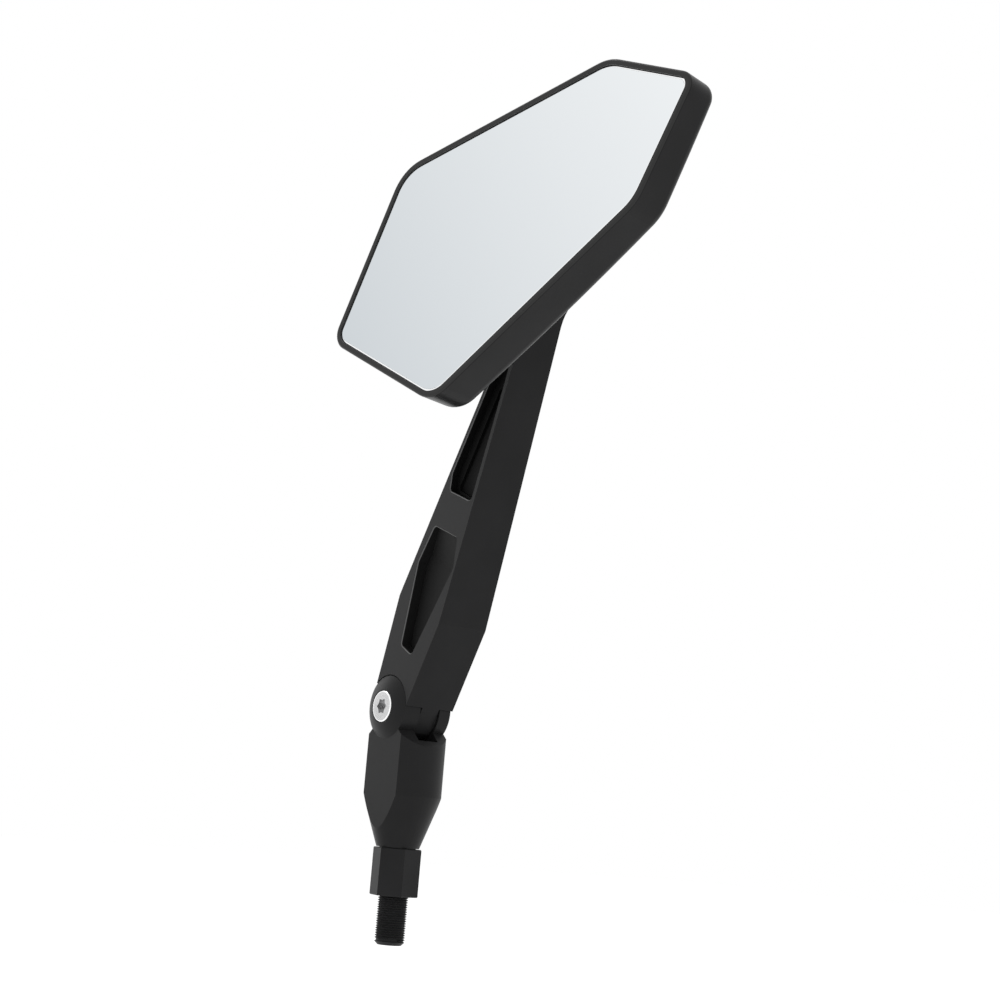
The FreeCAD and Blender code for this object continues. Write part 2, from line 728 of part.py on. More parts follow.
loose_hole = size("screw_radius") + size("washer_gap")
finished(
    ring("front_drag_body", loose_hole, size("drag_washer_radius"), slot_front - drag, slot_front),
    "friction_washer_front", HINGE,
)
finished(
    ring("rear_drag_body", loose_hole, size("drag_washer_radius"), -slot_back, drag - slot_back),
    "friction_washer_rear", HINGE,
)
finished(ring("pivot_bush_body", bush_inside, bush_outside, -tongue_back, tongue_front), "pivot_bush", HINGE)


def nut(name, low, height):
    body = new_body(name)
    sketch = sketch_on(body, "XY_Plane", low)
    hexagon(sketch, size("nut_across_flats"))
    circle(sketch, screw_hole)
    pad(body, sketch, height)
    return body


finished(nut("pivot_nut_body", -half_flat, size("nut_height")), "pivot_nut", HINGE)

# Arm: tongue, blade with a bent outline, boss, notches for the ears, and two pockets in its front

arm_front = size("arm_front")
arm_back = size("arm_back")
arm_thickness = arm_front + arm_back
boss_across = -size("boss_across")
boss_along = size("boss_along")
boss_radius = size("boss_radius")
arm_end = boss_along + boss_radius * 2
taper_start = size("right_bend_along")
back_at_end = arm_back - size("arm_taper") * (arm_end - taper_start)
back_at_boss = arm_back - size("arm_taper") * (boss_along - taper_start)

blade_end = boss_along - size("tip_short")
tongue_far = tongue_radius * 2

arm = new_body("arm_body")
tongue_sketch = sketch_on(arm, "XY_Plane", -tongue_back)
circle(tongue_sketch, tongue_radius)
pad(arm, tongue_sketch, tongue_back + tongue_front)
for near, far in ((size("right_foot_across"), tongue_far), (-size("left_foot_across"), -tongue_far)):
    side_sketch = sketch_on(arm, "XY_Plane")
    polygon(side_sketch, ((near, -tongue_far), (far, -tongue_far), (far, tongue_far), (near, tongue_far)))
    pocket(arm, side_sketch, arm_thickness * 2, both_ways=True)

blade_sketch = sketch_on(arm, "XY_Plane", -arm_back)
polygon(blade_sketch, (
    (size("right_foot_across"), NONE),
    (size("right_bend_across"), size("right_bend_along")),
    (-size("tip_right_across"), blade_end),
    (-size("tip_left_across"), blade_end),
    (-size("left_bend_across"), size("left_bend_along")),
    (-size("left_foot_across"), NONE),
))
pad(arm, blade_sketch, arm_thickness)
boss_sketch = sketch_on(arm, "XY_Plane", -arm_back)
circle(boss_sketch, boss_radius, boss_across, boss_along)
pad(arm, boss_sketch, arm_thickness)


def blade_meets_boss(place):
    reach = math.hypot(place.x - boss_across.value, place.y - boss_along.value)
    below = place.y < boss_along.value - boss_radius.value / 2
    return below and abs(reach - boss_radius.value) < 0.01


round_edges(arm, size("boss_fillet"), blade_meets_boss)

taper_sketch = sketch_on(arm, "YZ_Plane")
polygon(taper_sketch, (
    (taper_start, -arm_back),
    (arm_end, -back_at_end),
    (arm_end, -arm_back * 2),
    (taper_start, -arm_back * 2),
))
pocket(arm, taper_sketch, arm_end * 2, both_ways=True)

nose_sketch = sketch_on(arm, "XZ_Plane", -boss_along)
turned_profile(nose_sketch, straight((
    (NONE, NONE),
    (boss_radius, NONE),
    (boss_radius, arm_front),
    (size("boss_nose_radius"), size("boss_nose")),
    (NONE, size("boss_nose")),
)), boss_across)
turn(arm, nose_sketch)

notch_radius = size("ear_radius") + size("notch_gap")
for lift, upwards in ((tongue_front, True), (-tongue_back, False)):
    notch_sketch = sketch_on(arm, "XY_Plane", lift)
    circle(notch_sketch, notch_radius)
    pocket(arm, notch_sketch, arm_thickness, upwards=upwards)
eye_sketch = sketch_on(arm, "XY_Plane")
circle(eye_sketch, bush_outside + size("seat_gap"))
pocket(arm, eye_sketch, arm_thickness, both_ways=True)

recess_floor = size("nut_recess_depth") - back_at_boss
stud_sketch = sketch_on(arm, "XZ_Plane", -boss_along)
turned_profile(stud_sketch, straight((
    (NONE, -arm_back),
    (size("nut_recess_radius"), -arm_back),
    (size("nut_recess_radius"), recess_floor),
    (screw_hole, recess_floor),
    (screw_hole, size("boss_nose") * 2),
    (NONE, size("boss_nose") * 2),
)), boss_across)
groove(arm, stud_sketch)


def well(name, points, floor):
    """Tool for a pocket in the arm's front face, with rounded corners."""
    body = new_body(name)
    sketch = sketch_on(body, "XY_Plane", floor)
    polygon(sketch, points)
    pad(body, sketch, arm_thickness)
    round_edges(body, size("well_corner"), lambda place: True)
    return body


blade_run = blade_end - size("right_bend_along")
right_closing = (size("right_bend_across") + size("tip_right_across")) / blade_run
left_run = blade_end - size("left_bend_along")
left_closing = (size("left_bend_across") - size("tip_left_across")) / left_run


def right_edge(along):
    return size("right_bend_across") - right_closing * (along - size("right_bend_along"))


def left_edge(along):
    return left_closing * (along - size("left_bend_along")) - size("left_bend_across")


low_floor = arm_front - size("low_well_depth")
low_top = size("low_well_top")
low_well = well("low_well_body", (
    (-size("low_well_top_left"), low_top - size("low_well_top_skew")),
    (size("low_well_top_right"), low_top + size("low_well_top_skew")),
    (size("low_well_wide_right"), size("low_well_wide_along")),
    (size("low_well_foot_right"), size("low_well_foot")),
    (-size("low_well_foot_left"), size("low_well_foot")),
    (-size("low_well_left"), size("low_well_left_along")),
), low_floor)
ramp = new_body("ramp_body")
ramp_sketch = sketch_on(ramp, "YZ_Plane")
polygon(ramp_sketch, (
    (NONE, low_floor),
    (size("low_well_crease"), low_floor),
    (low_top + size("low_well_top_skew") * 2, arm_front - size("low_well_lip")),
    (low_top + size("low_well_top_skew") * 2, arm_front * 2),
    (NONE, arm_front * 2),
))
pad(ramp, ramp_sketch, arm_end, both_ways=True)
low_tool = doc.addObject("Part::Common", "low_well_tool")
low_tool.Base = low_well
low_tool.Tool = ramp

top_foot = size("top_well_foot")
top_end = boss_along - size("top_well_end")
corner_up = top_foot + size("top_well_corner_rise")
lip_left = size("top_well_lip_left")
lip_right = size("top_well_lip_right")
top_tool = well("top_well_body", (
    (-size("top_well_foot_left"), top_foot - size("top_well_foot_skew")),
    (-size("top_well_foot_right"), top_foot + size("top_well_foot_skew")),
    (right_edge(top_end) - lip_right, top_end),
    (left_edge(top_end) + lip_left, top_end),
    (left_edge(corner_up) + lip_left, corner_up),
), arm_front - size("top_well_depth"))

inset = size("top_well_inset")
step_foot = top_foot + inset
step_end = boss_along - size("top_well_step_end")
step_left = lip_left + size("top_well_ledge")
step_tool = well("top_step_body", (
    (left_edge(step_foot) + step_left, step_foot),
    (-size("top_well_foot_right") - inset, step_foot + size("top_well_foot_skew")),
    (right_edge(step_end) - lip_right - inset, step_end),
    (left_edge(step_end) + step_left, step_end),
), arm_front - size("top_well_depth") - size("top_well_step"))

milled = arm
for name, tool in (("lower", low_tool), ("upper", top_tool), ("step", step_tool)):
    cut = doc.addObject("Part::Cut", f"arm_{name}_milling")
    cut.Base = milled
    cut.Tool = tool
    milled = cut
doc.recompute()


def pocket_rims(shape):
    """Names of the edges where the pockets open in the arm's front face."""
    names = []
    for face in shape.Faces:
        if not isinstance(face.Surface, Part.Plane) or abs(face.CenterOfMass.z - arm_front.value) > 0.001:
            continue
        for wire in face.Wires:
            if wire.isSame(face.OuterWire):
                continue
            for edge in wire.Edges:
                for index, other in enumerate(shape.Edges, start=1):
                    if other.isSame(edge):
                        names.append(f"Edge{index}")
    return names


arm_piece = new_body("arm_finish")
arm_piece.BaseFeature = milled
doc.recompute()
milled_tip = arm_piece.Tip
rim_break = arm_piece.newObject("PartDesign::Chamfer", "arm_rim_break")
rim_break.Base = (milled_tip, pocket_rims(milled_tip.Shape))
rim_break.setExpression("Size", size("well_break").text)
finished(arm_piece, "arm", ARM)

# Ball stud with its washer and nut, in the boss at the arm's top

reach = size("ball_reach")
ball = size("ball_radius")
ball_neck = size("ball_neck_radius")
collar_back = size("boss_nose") - reach
collar_front = collar_back + size("ball_collar_thickness")
washer_back = recess_floor - size("ball_washer_thickness")
nut_back = washer_back - size("ball_nut_height")
finished(turned("ball_stud_body", (
    (NONE, ball, True),
    (ball_neck, -on_ball(ball, ball_neck), False),
    (ball_neck, collar_front, False),
    (size("ball_collar_radius"), collar_front, False),
    (size("ball_collar_radius"), collar_back, False),
    (size("screw_radius"), collar_back, False),
    (size("screw_radius"), nut_back - reach, False),
    (NONE, nut_back - reach, False),
)), "ball_stud", BALL)
finished(
    ring("ball_washer_body", loose_hole, size("ball_washer_radius"), washer_back, recess_floor),
    "stud_washer", BOSS,
)
finished(nut("ball_nut_body", nut_back, size("ball_nut_height")), "stud_nut", BOSS)

# Ball seats in the head: seat ring behind the ball, pressure cup before it, spring and clamp plate

ball_hole = ball + size("running_gap")
ring_front = -size("ring_front")
ring_back = -size("ring_back")
ring_radius = size("ring_radius")
finished(turned("seat_ring_body", (
    (on_ball(ball_hole, ring_back), ring_back, False),
    (on_ball(ring_radius, ring_back), ring_back, True),
    (on_ball(ring_radius, ring_front), ring_front, False),
    (on_ball(ball_hole, ring_front), ring_front, True),
)), "seat_ring", HEAD)

plate_seat = size("plate_seat")
plate_top = plate_seat + size("plate_thickness")
cup_foot = size("cup_foot")
flange_top = size("cup_flange_top")
finished(turned("pressure_cup_body", (
    (NONE, ball_hole, True),
    (on_ball(ball_hole, cup_foot), cup_foot, False),
    (size("cup_radius"), cup_foot, False),
    (size("cup_radius"), flange_top, False),
    (size("cup_neck_radius"), flange_top, False),
    (size("cup_neck_radius"), plate_seat, False),
    (size("cup_top_radius"), size("cup_top"), False),
    (NONE, size("cup_top"), False),
)), "pressure_cup", HEAD)

spring = size("spring_thickness")
finished(turned("seat_spring_body", straight((
    (size("spring_inner"), plate_seat - spring),
    (size("spring_outer"), flange_top),
    (size("spring_outer"), flange_top + spring),
    (size("spring_inner"), plate_seat),
))), "seat_spring", HEAD)


def screw_places():
    for angle in (90, 210, 330):
        turn_angle = math.radians(angle)
        distance = size("plate_screw_circle")
        yield distance * math.cos(turn_angle), distance * math.sin(turn_angle)


clamp_hole = size("plate_screw_radius") + size("seat_gap")
plate = new_body("clamp_plate_body")
plate_sketch = sketch_on(plate, "XY_Plane", plate_seat)
circle(plate_sketch, size("plate_radius"))
circle(plate_sketch, size("plate_hole_radius"))
for across, up in screw_places():
    circle(plate_sketch, clamp_hole, across, up)
pad(plate, plate_sketch, size("plate_thickness"))
finished(plate, "clamp_plate", HEAD)

clamp_end = plate_seat - size("plate_screw_depth")
clamp_head = size("plate_screw_head")
clamp_top = plate_top + size("plate_screw_head_height")
clamp_bodies = []
for index, (across, up) in enumerate(screw_places()):
    body = turned(f"clamp_screw_body_{index}", straight((
        (NONE, clamp_end),
        (size("plate_screw_radius"), clamp_end),
        (size("plate_screw_radius"), plate_top),
        (clamp_head, plate_top),
        (clamp_head, clamp_top),
        (NONE, clamp_top),
    )))
    body.setExpression("Placement.Base.x", across.text)
    body.setExpression("Placement.Base.y", up.text)
    clamp_bodies.append(body)
clamp_screws = doc.addObject("Part::Compound", "clamp_screw_set")
clamp_screws.Links = clamp_bodies
finished(clamp_screws, "clamp_screws", HEAD)

# Head: six-sided housing with a domed back, foam pad and mirror glass

HEAD_CORNERS = (
    (size("corner_top_left_right"), size("corner_top_left_up"), size("round_top_left")),
    (size("corner_top_right_right"), size("corner_top_right_up"), size("round_top_right")),
    (size("corner_right_right"), -size("corner_right_down"), size("round_right")),
    (-size("corner_bottom_left"), -size("corner_bottom_down"), size("round_bottom")),
    (-size("corner_left_left"), -size("corner_left_down"), size("round_left")),
    (-size("corner_upper_left"), size("corner_upper_up"), size("round_upper")),
)
rim_front = size("rim_front")
rim = size("rim_width")
glass_front = rim_front - size("glass_sink")
glass_back = glass_front - size("glass_thickness")
foam_back = glass_back - size("foam_thickness")
head_back = rim_front - size("head_depth")
dome_radius = size("back_dome_radius")
dome_width = size("corner_top_right_right") * 2

housing = new_body("housing_body")
shell_sketch = sketch_on(housing, "XY_Plane", -size("collar_end"))
rounded_outline(shell_sketch, HEAD_CORNERS)
pad(housing, shell_sketch, size("collar_end") + rim_front)


def dome_height(radius):
    return head_back + dome_radius - on_ball(dome_radius, radius)


collar_root = size("collar_root_radius")
collar_beyond = -size("collar_end") - rim
back_sketch = sketch_on(housing, "XZ_Plane")
turned_profile(back_sketch, (
    (size("collar_radius"), -size("collar_end"), False),
    (collar_root, dome_height(collar_root), True),
    (dome_width, dome_height(dome_width), False),
    (dome_width, collar_beyond, False),
    (size("collar_radius"), collar_beyond, False),
))
groove(housing, back_sketch)


def face_edges(body, wanted):
    """The outer edges of the body's faces that fit the test."""
    doc.recompute()
    shape = body.Tip.Shape
    names = []
    for face in shape.Faces:
        if not wanted(face):
            continue
        for edge in face.OuterWire.Edges:
            for index, other in enumerate(shape.Edges, start=1):
                if other.isSame(edge):
                    names.append(f"Edge{index}")
    return names


def break_edges(body, kind, size_name, property_name, wanted):
    names = face_edges(body, wanted)
    tip = body.Tip
    made = body.newObject(f"PartDesign::{kind}", f"{body.Name}_{kind.lower()}")
    made.Base = (tip, names)
    made.setExpression(property_name, size(size_name).text)
    return made


def is_domed(face):
    return isinstance(face.Surface, Part.Sphere)


def is_level(height):
    def level(face):
        return isinstance(face.Surface, Part.Plane) and abs(face.CenterOfMass.z - height.value) < 0.001
    return level


break_edges(housing, "Fillet", "back_edge_round", "Radius", is_domed)
break_edges(housing, "Fillet", "rim_edge_round", "Radius", is_level(rim_front))

recess_sketch = sketch_on(housing, "XY_Plane", foam_back)
rounded_outline(recess_sketch, HEAD_CORNERS, rim)
pocket(housing, recess_sketch, size("head_depth"), upwards=True)
cavity_sketch = sketch_on(housing, "XY_Plane", plate_seat)
rounded_outline(cavity_sketch, HEAD_CORNERS, rim + size("ledge_width"))
pocket(housing, cavity_sketch, foam_back, upwards=True)

ring_low = size("lightening_floor")
ring_inside = size("plate_radius") + rim
ring_outside = ring_inside + size("lightening_width")
ring_sketch = sketch_on(housing, "XZ_Plane")
turned_profile(ring_sketch, straight((
    (ring_inside, ring_low),
    (ring_outside, ring_low),
    (ring_outside, foam_back),
    (ring_inside, foam_back),
)))
groove(housing, ring_sketch)

seat_hole = ring_radius + size("running_gap")
guide_floor = size("guide_floor")
hub_sketch = sketch_on(housing, "XZ_Plane")
turned_profile(hub_sketch, (
    (NONE, -seat_hole, True),
    (on_ball(seat_hole, guide_floor), guide_floor, False),
    (size("guide_radius"), guide_floor, False),
    (size("guide_radius"), foam_back, False),
    (NONE, foam_back, False),
))
groove(housing, hub_sketch)
for across, up in screw_places():
    hole_sketch = sketch_on(housing, "XY_Plane", plate_seat)
    circle(hole_sketch, clamp_hole, across, up)
    pocket(housing, hole_sketch, size("plate_screw_depth"))
finished(housing, "head_housing", HEAD)

foam = new_body("foam_body")
foam_sketch = sketch_on(foam, "XY_Plane", foam_back)
rounded_outline(foam_sketch, HEAD_CORNERS, rim + size("foam_gap"))
pad(foam, foam_sketch, size("foam_thickness"))
finished(foam, "glass_pad", HEAD)

glass = new_body("glass_body")
glass_sketch = sketch_on(glass, "XY_Plane", glass_back)
rounded_outline(glass_sketch, HEAD_CORNERS, rim + size("glass_gap"))
pad(glass, glass_sketch, size("glass_thickness"))
break_edges(glass, "Chamfer", "glass_bevel", "Size", is_level(glass_front))
finished(glass, "mirror_glass", HEAD)

doc.recompute()
for item in doc.Objects:
    if "Invalid" in item.State or "Error" in item.State:
        raise RuntimeError(f"{item.Name} is not valid: {item.State}")
for piece in PIECES:
    if piece.Shape.isNull() or not piece.Shape.isValid():
        raise RuntimeError(f"{piece.Label} has no valid shape")

os.makedirs("parts", exist_ok=True)
for piece in PIECES:
    piece.Shape.exportStep(f"parts/{piece.Label}.step")
    box = piece.Shape.BoundBox
    print(piece.Label, len(piece.Shape.Solids), round(piece.Shape.Volume, 1), box)
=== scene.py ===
# %% [markdown]
# # A motorcycle mirror, dressed in Blender
# The solids of this mirror come from CAD: a threaded stud, a swivelling base, a hinged arm and a
# six-sided head. They are already at their real size and place. This lesson adds what CAD leaves
# plain: the thread on the stud, the turned corners of two nuts, the finish of each surface, the light
# and the camera.

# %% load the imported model
import bpy
import bmesh
import json
import math
from mathutils import Matrix, Vector


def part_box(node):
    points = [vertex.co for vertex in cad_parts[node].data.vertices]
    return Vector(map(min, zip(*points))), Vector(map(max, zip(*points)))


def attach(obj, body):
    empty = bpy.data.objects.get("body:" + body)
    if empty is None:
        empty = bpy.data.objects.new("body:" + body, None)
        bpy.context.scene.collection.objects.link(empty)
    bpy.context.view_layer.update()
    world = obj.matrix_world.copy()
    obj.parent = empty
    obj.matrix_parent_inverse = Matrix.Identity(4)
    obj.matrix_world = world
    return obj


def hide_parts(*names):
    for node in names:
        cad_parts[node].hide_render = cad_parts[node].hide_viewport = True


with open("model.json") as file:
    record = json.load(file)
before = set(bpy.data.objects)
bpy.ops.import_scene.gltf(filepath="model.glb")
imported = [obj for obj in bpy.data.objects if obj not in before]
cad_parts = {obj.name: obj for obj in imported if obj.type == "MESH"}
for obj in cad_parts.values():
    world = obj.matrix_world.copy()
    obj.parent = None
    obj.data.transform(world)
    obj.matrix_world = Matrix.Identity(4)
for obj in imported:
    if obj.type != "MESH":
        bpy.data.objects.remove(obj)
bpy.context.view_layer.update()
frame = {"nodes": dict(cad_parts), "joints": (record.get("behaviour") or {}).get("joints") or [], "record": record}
nodes = frame["nodes"]
joint_places = {joint["name"]: Vector(joint["pos_m"]) for joint in frame["joints"]}
print("nodes:", len(nodes), "joints:", list(joint_places))

# %% [markdown]
# ## Camera
# A product picture is taken with a long lens, so that straight edges stay calm. The place, the
# direction and the lens were measured on the real picture's straight edges. A constraint could aim the
# camera, but here its roll counts too. A camera in Blender looks along its own -Z axis with +Y up, so
# its matrix is made of the right, up and backward directions.

# %% camera
LENS_MM = 67.2
SENSOR_MM = 36.0
SIDE_SHIFT = -0.0006
NEAREST_SEEN = 0.01
EYE = Vector((0.5133, -0.3600, 0.0245))
AHEAD = Vector((-0.7837, 0.5966, 0.1729)).normalized()
RIGHT = Vector((0.6149, 0.7844, 0.0807)).normalized()

camera_data = bpy.data.cameras.new("camera")
camera_data.sensor_width = SENSOR_MM
camera_data.lens = LENS_MM
camera_data.shift_x = SIDE_SHIFT
camera_data.clip_start = NEAREST_SEEN
camera = bpy.data.objects.new("camera", camera_data)
bpy.context.scene.collection.objects.link(camera)
above = RIGHT.cross(AHEAD).normalized()
turn = Matrix((RIGHT, above, -AHEAD)).transposed().to_4x4()
camera.matrix_world = Matrix.Translation(EYE) @ turn
bpy.context.scene.camera = camera
print("camera at", tuple(round(value, 3) for value in EYE))

# %% [markdown]
# ## Studio
# Black parts are drawn by what they reflect. In a bright room a satin black face is darkest where it
# is seen square on, and paler where it is seen at a slant. Lamps alone would leave dark gaps in what
# the glass reflects, so the surroundings are one even white. Two soft lamps, at the left and above,
# lift the front and top faces a little. The world is white to camera, mirror and glass rays, at a
# strength of 1, and a little weaker to the rays that light the object.

# %% studio world
WHITE = (1, 1, 1, 1)
SEEN_LEVEL = 1.0
LIGHT_LEVEL = 0.75

scene = bpy.context.scene
scene.view_settings.view_transform = "Standard"


def add_node(tree, kind, **settings):
    node = tree.nodes.new(kind)
    for name, value in settings.items():
        setattr(node, name, value)
    return node


def background_rays(tree):
    """1 for rays that show the background: from the camera, from gloss and through glass."""
    path = add_node(tree, "ShaderNodeLightPath")
    gloss = add_node(tree, "ShaderNodeMath", operation="MAXIMUM")
    tree.links.new(path.outputs["Is Camera Ray"], gloss.inputs[0])
    tree.links.new(path.outputs["Is Glossy Ray"], gloss.inputs[1])
    glass = add_node(tree, "ShaderNodeMath", operation="MAXIMUM")
    tree.links.new(gloss.outputs[0], glass.inputs[0])
    tree.links.new(path.outputs["Is Transmission Ray"], glass.inputs[1])
    return glass.outputs[0]


world = bpy.data.worlds.new("studio")
scene.world = world
world.use_nodes = True
tree = world.node_tree
tree.nodes.clear()
either = add_node(tree, "ShaderNodeMixShader")
tree.links.new(background_rays(tree), either.inputs["Fac"])
for socket, level in ((1, LIGHT_LEVEL), (2, SEEN_LEVEL)):
    white = add_node(tree, "ShaderNodeBackground")
    white.inputs["Color"].default_value = WHITE
    white.inputs["Strength"].default_value = level
    tree.links.new(white.outputs[0], either.inputs[socket])
output = add_node(tree, "ShaderNodeOutputWorld")
tree.links.new(either.outputs[0], output.inputs["Surface"])
print("world light", LIGHT_LEVEL)

# %% lamps
LIT_PLACE = Vector((0.06, -0.01, 0.12))


def soft_light(name, place, width, watts):
    data = bpy.data.lights.new(name, "AREA")
    data.shape = "SQUARE"
    data.size = width
    data.energy = watts
    lamp = bpy.data.objects.new(name, data)
    scene.collection.objects.link(lamp)
    lamp.location = place
    lamp.rotation_euler = (LIT_PLACE - Vector(place)).to_track_quat("-Z", "Y").to_euler()


soft_light("left_light", place=(-1.0, -0.35, 0.40), width=0.6, watts=1.25)
soft_light("top_light", place=(-0.50, -0.20, 1.15), width=0.5, watts=2.0)

# %% [markdown]
# ## Floor
# A plain pale floor closes the studio. Its paint is lit as anything else is, so it keeps the shadow of
# the mirror above it. A little glow, only for the rays that show the background, brings its far part
# up to the same white as the world, and the horizon disappears.

# %% floor
FLOOR_HEIGHT = -0.07
FLOOR_HALF_WIDTH = 3.0
FLOOR_PAINT = (0.95, 0.95, 0.95, 1)
FLOOR_GLOW = 0.36

floor_mesh = bmesh.new()
bmesh.ops.create_grid(floor_mesh, x_segments=1, y_segments=1, size=FLOOR_HALF_WIDTH)
bmesh.ops.translate(floor_mesh, verts=floor_mesh.verts, vec=(0, 0, FLOOR_HEIGHT))
floor_data = bpy.data.meshes.new("floor")
floor_mesh.to_mesh(floor_data)
floor_mesh.free()
floor = bpy.data.objects.new("floor", floor_data)
scene.collection.objects.link(floor)

floor_paint = bpy.data.materials.new("floor_paint")
floor_paint.use_nodes = True
tree = floor_paint.node_tree
tree.nodes.clear()
paint = add_node(tree, "ShaderNodeBsdfDiffuse")
paint.inputs["Color"].default_value = FLOOR_PAINT
glow_level = add_node(tree, "ShaderNodeMath", operation="MULTIPLY")
tree.links.new(background_rays(tree), glow_level.inputs[0])
glow_level.inputs[1].default_value = FLOOR_GLOW
glow = add_node(tree, "ShaderNodeEmission")
tree.links.new(glow_level.outputs[0], glow.inputs["Strength"])
both = add_node(tree, "ShaderNodeAddShader")
tree.links.new(paint.outputs[0], both.inputs[0])
tree.links.new(glow.outputs[0], both.inputs[1])
output = add_node(tree, "ShaderNodeOutputMaterial")
tree.links.new(both.outputs[0], output.inputs["Surface"])
floor_data.materials.append(floor_paint)
print("floor at", FLOOR_HEIGHT)

# %% [markdown]
# ## Shared effects
# The large parts of this mirror are black, with a surface like that of bead blasting: a very fine
# grain, and broad, hardly visible patches. An image could hold the grain, but noise needs no unwrapped
# mesh. It is built once, as a node group that reads the object's own coordinates, and every black
# finish uses it with its own values. Turned steel has fine rings round its axis instead, so it gets a
# second group. A third gives the faint patches of plated metal. All three end alike: a tone runs the
# colour from dark to light and the roughness from smooth to rough, and a height is passed on for the
# bump.

# %% helpers for node groups
COLOUR = "NodeSocketColor"
VALUE = "NodeSocketFloat"
VECTOR = "NodeSocketVector"
TONES = [("Dark", COLOUR), ("Light", COLOUR), ("Smooth", VALUE), ("Rough", VALUE)]
SURFACE = [("Color", COLOUR), ("Roughness", VALUE), ("Height", VALUE)]


def new_group(name, inputs, outputs):
    group = bpy.data.node_groups.new(name, "ShaderNodeTree")
    for socket, kind in inputs:
        group.interface.new_socket(socket, in_out="INPUT", socket_type=kind)
    for socket, kind in outputs:
        group.interface.new_socket(socket, in_out="OUTPUT", socket_type=kind)
    return group, add_node(group, "NodeGroupInput"), add_node(group, "NodeGroupOutput")


def noise(tree, vector, scale, detail):
    """A noise whose scale is a number, or comes from another node."""
    node = add_node(tree, "ShaderNodeTexNoise")
    node.inputs["Detail"].default_value = detail
    tree.links.new(vector, node.inputs["Vector"])
    if isinstance(scale, float):
        node.inputs["Scale"].default_value = scale
    else:
        tree.links.new(scale, node.inputs["Scale"])
    return node.outputs["Fac"]


def spread(tree, value, low, high):
    """Stretches a value so that it runs from 0 to 1 between two limits."""
    node = add_node(tree, "ShaderNodeMapRange")
    tree.links.new(value, node.inputs["Value"])
    node.inputs["From Min"].default_value = low
    node.inputs["From Max"].default_value = high
    return node.outputs["Result"]


def blend(tree, kind, factor, first, second):
    """Runs from a first to a second output as a factor runs from 0 to 1."""
    node = add_node(tree, "ShaderNodeMix", data_type=kind)
    tree.links.new(factor, node.inputs["Factor"])
    tree.links.new(first, node.inputs["A"])
    tree.links.new(second, node.inputs["B"])
    return node.outputs["Result"]


def end_surface(group, given, made, tone, height):
    colour = blend(group, "RGBA", tone, given.outputs["Dark"], given.outputs["Light"])
    rough = blend(group, "FLOAT", tone, given.outputs["Smooth"], given.outputs["Rough"])
    group.links.new(colour, made.inputs["Color"])
    group.links.new(rough, made.inputs["Roughness"])
    group.links.new(height, made.inputs["Height"])


print("each effect makes", [name for name, kind in SURFACE])

# %% grain of blasted black parts
GRAIN_DETAIL = 2.0
GRAIN_SHARE = 0.5
PATCHES_PER_METRE = 55.0
PATCH_DETAIL = 3.0
PATCH_RANGE = (0.35, 0.65)


def make_blasted_grain():
    group, given, made = new_group("blasted_grain", [("Grains per metre", VALUE)] + TONES, SURFACE)
    place = add_node(group, "ShaderNodeTexCoord").outputs["Object"]
    grain = noise(group, place, given.outputs["Grains per metre"], GRAIN_DETAIL)
    patches = spread(group, noise(group, place, PATCHES_PER_METRE, PATCH_DETAIL), *PATCH_RANGE)
    patch_part = add_node(group, "ShaderNodeMath", operation="MULTIPLY")
    group.links.new(patches, patch_part.inputs[0])
    patch_part.inputs[1].default_value = 1 - GRAIN_SHARE
    tone = add_node(group, "ShaderNodeMath", operation="MULTIPLY_ADD")
    group.links.new(grain, tone.inputs[0])
    tone.inputs[1].default_value = GRAIN_SHARE
    group.links.new(patch_part.outputs[0], tone.inputs[2])
    end_surface(group, given, made, tone.outputs[0], grain)
    return group


blasted_grain = make_blasted_grain()
print("group", blasted_grain.name, [item.name for item in blasted_grain.interface.items_tree])

# %% rings of turned steel
RINGS_PER_METRE = 5000.0
RING_DETAIL = 2.0
RING_RANGE = (0.3, 0.7)


def make_turned_rings():
    group, given, made = new_group("turned_rings", [("From axis", VECTOR)] + TONES, SURFACE)
    away = add_node(group, "ShaderNodeVectorMath", operation="LENGTH")
    group.links.new(given.outputs["From axis"], away.inputs[0])
    rings = add_node(group, "ShaderNodeTexNoise", noise_dimensions="1D")
    rings.inputs["Scale"].default_value = RINGS_PER_METRE
    rings.inputs["Detail"].default_value = RING_DETAIL
    group.links.new(away.outputs["Value"], rings.inputs["W"])
    lines = spread(group, rings.outputs["Fac"], *RING_RANGE)
    end_surface(group, given, made, lines, lines)
    return group


turned_rings = make_turned_rings()
print("group", turned_rings.name, [item.name for item in turned_rings.interface.items_tree])

# %% patches of plated metal
PLATING_DETAIL = 4.0
PLATING_RANGE = (0.3, 0.7)


def make_plated_patches():
    group, given, made = new_group("plated_patches", [("Patches per metre", VALUE)] + TONES, SURFACE)
    place = add_node(group, "ShaderNodeTexCoord").outputs["Object"]
    patches = noise(group, place, given.outputs["Patches per metre"], PLATING_DETAIL)
    tone = spread(group, patches, *PLATING_RANGE)
    end_surface(group, given, made, tone, patches)
    return group


plated_patches = make_plated_patches()
print("group", plated_patches.name, [item.name for item in plated_patches.interface.items_tree])

# %% [markdown]
# ## Black finishes
# The arm, the base and the shell of the head are anodised aluminium, and the stud is blackened steel.
# All are nearly black in themselves. What the eye sees is a weak, broad reflection, so the specular
# level is low and the roughness is that of a blasted surface. The plastic of the bearings and the foam
# behind the glass are black too, with a coarser grain.

# %% helpers for finishes
BUMP_HEIGHT = 0.00002


def new_finish(name):
    finish = bpy.data.materials.new(name)
    finish.use_nodes = True
    return finish, finish.node_tree, finish.node_tree.nodes["Principled BSDF"]


def grey(level, blue=0.0):
    """A grey colour, a little blue if asked."""
    return (level, level, level * (1 + blue), 1)


